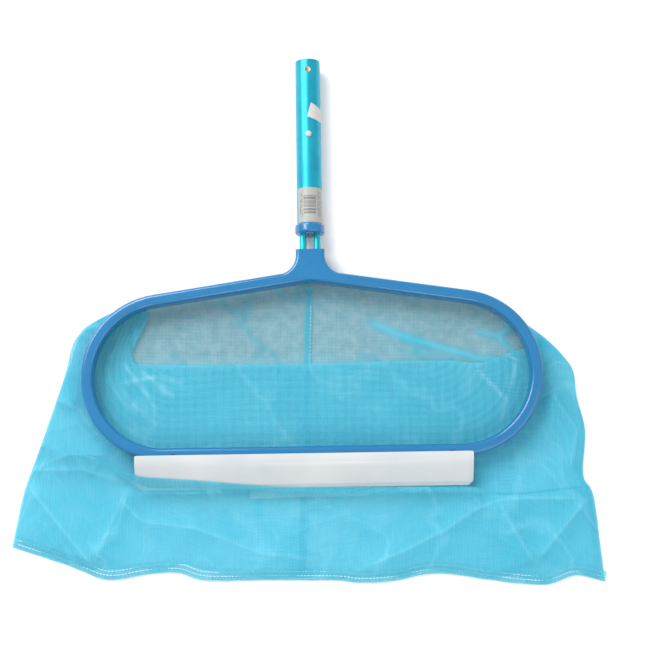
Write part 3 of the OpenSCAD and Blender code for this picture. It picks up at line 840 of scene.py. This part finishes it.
def add_mouth_hem():
    """The bag's rim, pushed up into the groove in the frame's back."""
    line = ring_line(MID_R - 1.5, -90, 269.9, 520)
    levels = [(-0.4, 11.6), (-0.45, 8.6), (-0.4, 5.9), (0.0, 5.4), (0.4, 5.9), (0.45, 8.6), (0.4, 11.6)]
    pts = np.zeros((len(levels), len(line), 3))
    step = np.gradient(line, axis=0)
    normal = np.stack([step[:, 1], -step[:, 0]], 1) / np.linalg.norm(step, axis=1)[:, None]
    for k, (off, z) in enumerate(levels):
        ripple = 0.3 * np.sin(np.arange(len(line)) * 0.9 + k)
        p = line + normal * (off + ripple * (z < 8))[:, None]
        pts[k] = np.c_[p, np.full(len(line), z)]
    rows = to_row(pts[..., 0], pts[..., 1], pts[..., 2])
    faces = grid_faces(len(levels), len(line), loop=True)
    obj = add_mesh("mouth_rim", rows.reshape(-1, 3), faces)
    layer = obj.data.uv_layers.new(name="flat")
    run = line_run(line) * MM
    for poly in obj.data.polygons:
        for li in poly.loop_indices:
            vi = obj.data.loops[li].vertex_index
            layer.data[li].uv = (run[vi % len(line)], obj.data.vertices[vi].co.z)
    dress(obj, "mesh_hem")
    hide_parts("mouth_hem")
    return obj


mouth_rim = add_mouth_hem()


# ---------------------------------------------------------------- the lip
def add_lip():
    """The scoop lip: a flat flange on the bar, a soft bend and a sloping blade with a thinned rim."""
    low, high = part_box("scoop_lip")
    left, right = low.x / MM, high.x / MM
    inner, outer = high.y / MM - PLAN_Y, low.y / MM - PLAN_Y
    top_z, edge_z, thick = high.z / MM, low.z / MM + 1.6, 1.6
    corner = 5.0
    # Columns and rows crowd together at the rim and the bend
    xs = np.unique(np.r_[left, left + 0.5, left + 1.2, left + 2, left + corner,
                         np.linspace(left + 6, right - 6, 80),
                         right - corner, right - 4, right - 3.2, right - 2, right - 1.2, right - 0.5, right])
    bend = inner - 7.9
    ys = np.unique(np.r_[outer, outer + 0.5, outer + 1.2, outer + 2, outer + 3.2, outer + 4, outer + corner,
                         np.linspace(outer + 6, bend - 2, 14), np.linspace(bend - 1.5, bend + 1.5, 6),
                         np.linspace(bend + 2.2, inner - 1, 4), inner - 0.4, inner])
    x, y = np.meshgrid(xs, ys)
    slope = (top_z - edge_z) / (bend - outer)
    soft = 2.2
    drop = slope * soft * np.log1p(np.exp((bend - y) / soft))
    drop = drop * (top_z - edge_z) / drop[0].max()
    sag = 0.6 * np.sin(math.pi * np.clip((bend - y) / (bend - outer), 0, 1))
    z = top_z - drop + sag * 0.4 + 0.15 * waves(x, y, 90, 81) * smooth(0, 12, bend - y)
    rim = np.minimum(y - outer, right - x)
    z_top = z - 0.55 * (1 - smooth(3.2, 4.0, rim)) - 0.35 * (1 - smooth(0, 1.0, np.minimum(rim, x - left)))
    z_low = z - thick + 0.2 * (1 - smooth(0, 1.0, np.minimum(rim, x - left)))
    for side, sign in ((left, 1), (right, -1)):
        inside = sign * (x - side)
        cut = np.clip(corner - inside, 0, None)
        y = np.maximum(y, outer + cut)
        soft = np.clip(2.2 - inside, 0, None)
        y = np.minimum(y, inner - soft**2 / 2.2 * 0.6)
    rows, cols = x.shape
    top, bottom = to_row(x, y, z_top), to_row(x, y, z_low)
    verts = np.vstack([top.reshape(-1, 3), bottom.reshape(-1, 3)])
    n = rows * cols
    faces = [f[::-1] for f in grid_faces(rows, cols)] + grid_faces(rows, cols, n)
    edge = ([r * cols for r in range(rows)] + [(rows - 1) * cols + c for c in range(1, cols)]
            + [r * cols + cols - 1 for r in range(rows - 2, -1, -1)] + list(range(cols - 2, 0, -1)))
    for a, b in zip(edge, edge[1:] + edge[:1]):
        faces.append((a, b, b + n, a + n))
    obj = add_mesh("lip_blade", verts, faces)
    bm = bmesh.new()
    bm.from_mesh(obj.data)
    bmesh.ops.remove_doubles(bm, verts=bm.verts, dist=1e-6)
    bmesh.ops.recalc_face_normals(bm, faces=bm.faces)
    bm.to_mesh(obj.data)
    bm.free()
    dress(obj, "white_plastic")
    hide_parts("scoop_lip")
    return obj


add_lip()


def add_spring_arm(name, side):
    """One arm of the clip spring: half of its bend, its slanted strip and the pad under a button."""
    low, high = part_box("clip_spring")
    thick, wide = 0.8, (high.x - low.x) / MM
    bend_r, pad = 3.6, 14.0
    tail_y, tip_y = low.y / MM, high.y / MM
    tip_z = (high.z - low.z) / 2 / MM - thick / 2
    path = [(tail_y + bend_r - bend_r * math.cos(a), bend_r * math.sin(a))
            for a in np.linspace(0, math.pi / 2, 9)]
    path += [(tail_y + bend_r + (tip_y - pad - tail_y - bend_r) * t, bend_r + (tip_z - bend_r) * t)
             for t in np.linspace(0.03, 1, 24)]
    path += [(tip_y - pad + pad * t, tip_z) for t in np.linspace(0.1, 1, 9)]
    p = np.array(path)
    step = np.gradient(p, axis=0)
    normal = np.stack([-step[:, 1], step[:, 0]], 1) / np.linalg.norm(step, axis=1)[:, None]
    section = [(-0.5, 0.0), (-0.47, 0.42), (-0.42, 0.5), (0.42, 0.5), (0.47, 0.42),
               (0.5, 0.0), (0.47, -0.42), (0.42, -0.5), (-0.42, -0.5), (-0.47, -0.42)]
    verts = []
    for q, nn in zip(p, normal):
        for a, b in section:
            w = q + nn * b * thick
            verts.append((a * wide, w[0], AXIS_Z + side * w[1]))
    faces = grid_faces(len(p), len(section), loop=True)
    faces += [tuple(range(len(section))), tuple(range(len(verts) - 1, len(verts) - 1 - len(section), -1))]
    obj = add_mesh(name, np.array(verts) * MM, faces, None)
    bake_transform(obj)
    dress(obj, "spring_steel")
    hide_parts("clip_spring")
    return obj


add_spring_arm("spring_arm_front", 1)
add_spring_arm("spring_arm_back", -1)

# ---------------------------------------------------------------- CAD nodes that show as they are
SHOWN = {
    "handle_tube": "anodised_tube",
    "snap_button_front": "button_plastic", "snap_button_back": "button_plastic",
    "handle_plug": "blue_plastic", "plug_screw": "screw_steel", "plug_pin": "screw_steel",
    "support_rod": "anodised_rod", "frame_front": "blue_plastic", "frame_back": "blue_plastic",
    "neck_screw": "screw_steel", "retaining_spline": "dark_vinyl", "lip_clips": "dark_plastic",
    "price_sticker": "paper", "product_label": "label_paper",
}
for name, slot in SHOWN.items():
    dress(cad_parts[name], slot)


# ---------------------------------------------------------------- floor and lights
def add_floor():
    data = bpy.data.meshes.new("floor")
    half = 6.0
    corners = [(-half, -half, 0), (half, -half, 0), (half, half, 0), (-half, half, 0)]
    data.from_pydata(corners, [], [(0, 1, 2, 3)])
    floor = bpy.data.objects.new("floor", data)
    bpy.context.scene.collection.objects.link(floor)
    n = Nodes("floor")
    shader = n.add("BsdfPrincipled", Base_Color=(0.93, 0.93, 0.93), Roughness=0.9, Specular_IOR_Level=0.1)
    floor.data.materials.append(n.finish(shader.outputs[0]))


def add_light(name, place, size, power, aim=(0, 0, 0)):
    data = bpy.data.lights.new(name, "AREA")
    data.shape = "RECTANGLE"
    data.size, data.size_y = size
    data.energy = power
    light = bpy.data.objects.new(name, data)
    bpy.context.scene.collection.objects.link(light)
    light.location = place
    light.rotation_euler = (Vector(aim) - Vector(place)).to_track_quat("-Z", "Y").to_euler()


add_floor()
add_light("key", (-1.1, 1.2, 1.6), (1.6, 1.3), 52)
add_light("fill", (1.3, -0.9, 1.7), (1.8, 1.8), 12)
add_light("glint", (0.05, -1.25, 1.15), (0.22, 0.12), 2.2)
world = bpy.data.worlds.new("studio")
world.use_nodes = True
world.node_tree.nodes["Background"].inputs[0].default_value = (1.0, 1.0, 1.0, 1.0)
world.node_tree.nodes["Background"].inputs[1].default_value = 0.72
bpy.context.scene.world = world
bpy.context.scene.view_settings.view_transform = "Standard"
